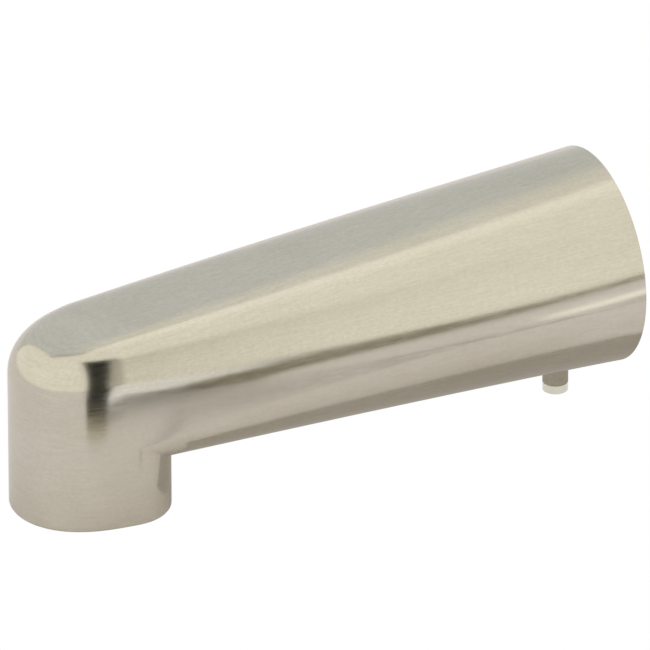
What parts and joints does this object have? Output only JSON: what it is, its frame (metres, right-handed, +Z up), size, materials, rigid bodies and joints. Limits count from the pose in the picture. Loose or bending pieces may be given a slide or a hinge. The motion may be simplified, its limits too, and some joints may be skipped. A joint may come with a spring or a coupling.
{
  "type": "wall mounted bath spout",
  "caption": "Wall spout that runs from a round wall end to a flat-topped nose and turns down to a short outlet, with a slip-fit tube socket and a set screw.",
  "frame": {"origin": "centre of the round wall end, in the wall plane, on the axis of the supply tube", "axes": "+Y points into the wall, the spout reaches out along -Y, +Z is up and +X is to the side"},
  "size_m": [0.0608, 0.178, 0.0667],
  "materials": {
    "brushed_nickel": "fine satin brushed nickel plating on a die casting",
    "gasket_foam": "matte closed-cell foam",
    "brass": "turned",
    "seal_rubber": "smooth moulded",
    "steel": "machined",
    "white_plastic": "moulded satin",
    "grey_plastic": "moulded satin"
  },
  "bodies": {
    "spout": {"spout_body": "brushed_nickel", "wall_gasket": "gasket_foam", "inlet_adapter": "brass", "adapter_screws": "steel", "seal_retainer": "brass", "rear_pipe_seal": "seal_rubber", "seal_spacer": "grey_plastic", "front_pipe_seal": "seal_rubber", "waterway_tube": "white_plastic", "tube_rear_seal": "seal_rubber", "tube_front_seal": "seal_rubber", "outlet_elbow": "white_plastic", "outlet_seal": "seal_rubber", "outlet_screen": "steel", "flow_straightener": "grey_plastic", "outlet_collar": "grey_plastic"},
    "shoe": {"clamp_shoe": "brass"},
    "screw": {"set_screw": "steel"}
  },
  "joints": [
    {"name": "shoe_slide", "type": "slide", "parent": "spout", "child": "shoe", "axis": [0, 0, 1], "range_m": [-0.001, 0.002]},
    {"name": "screw_turn", "type": "hinge", "parent": "shoe", "child": "screw", "pos_m": [0, -0.012, -0.02], "axis": [0, 0, 1], "range_deg": [-360, 720]}
  ],
  "couplings": [
    {"joint": "screw_turn", "follows": "shoe_slide", "rad_per_m": 6283.2}
  ]
}
